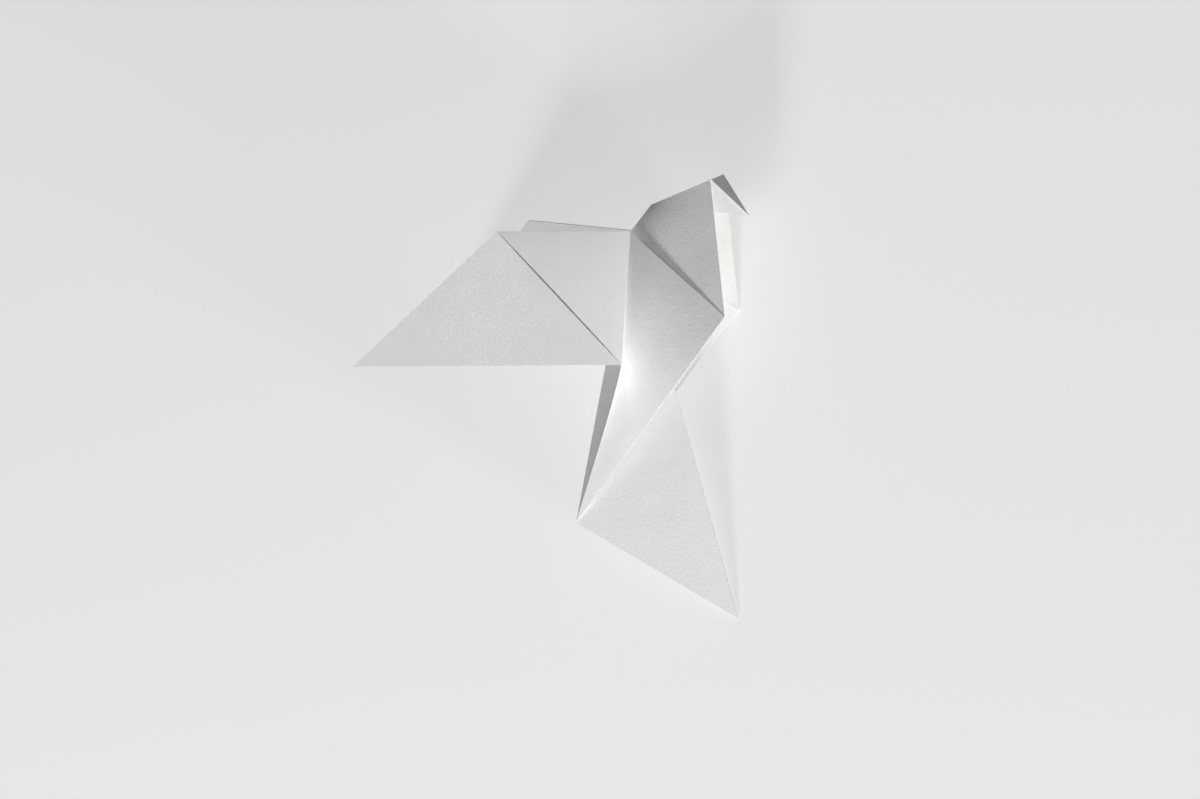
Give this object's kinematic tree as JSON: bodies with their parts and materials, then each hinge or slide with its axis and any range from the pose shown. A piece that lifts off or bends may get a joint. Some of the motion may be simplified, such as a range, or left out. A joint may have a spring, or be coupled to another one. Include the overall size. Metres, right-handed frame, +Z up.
{
  "type": "folded paper bird",
  "caption": "White paper bird folded from one square sheet, with two spread wings, a split breast, a pointed tail and a small reversed beak, lying on its side.",
  "frame": {"origin": "centre of the bounding box's bottom, on the surface that the bird lies on", "axes": "+Z up from the surface, +X towards the beak's side, +Y from the tail's tip towards the head"},
  "size_m": [0.1054, 0.1174, 0.0764],
  "materials": {
    "paper": "uncoated white paper, matte, with a fine tooth"
  },
  "bodies": {
    "root": {"bird": "paper"}
  },
  "joints": []
}
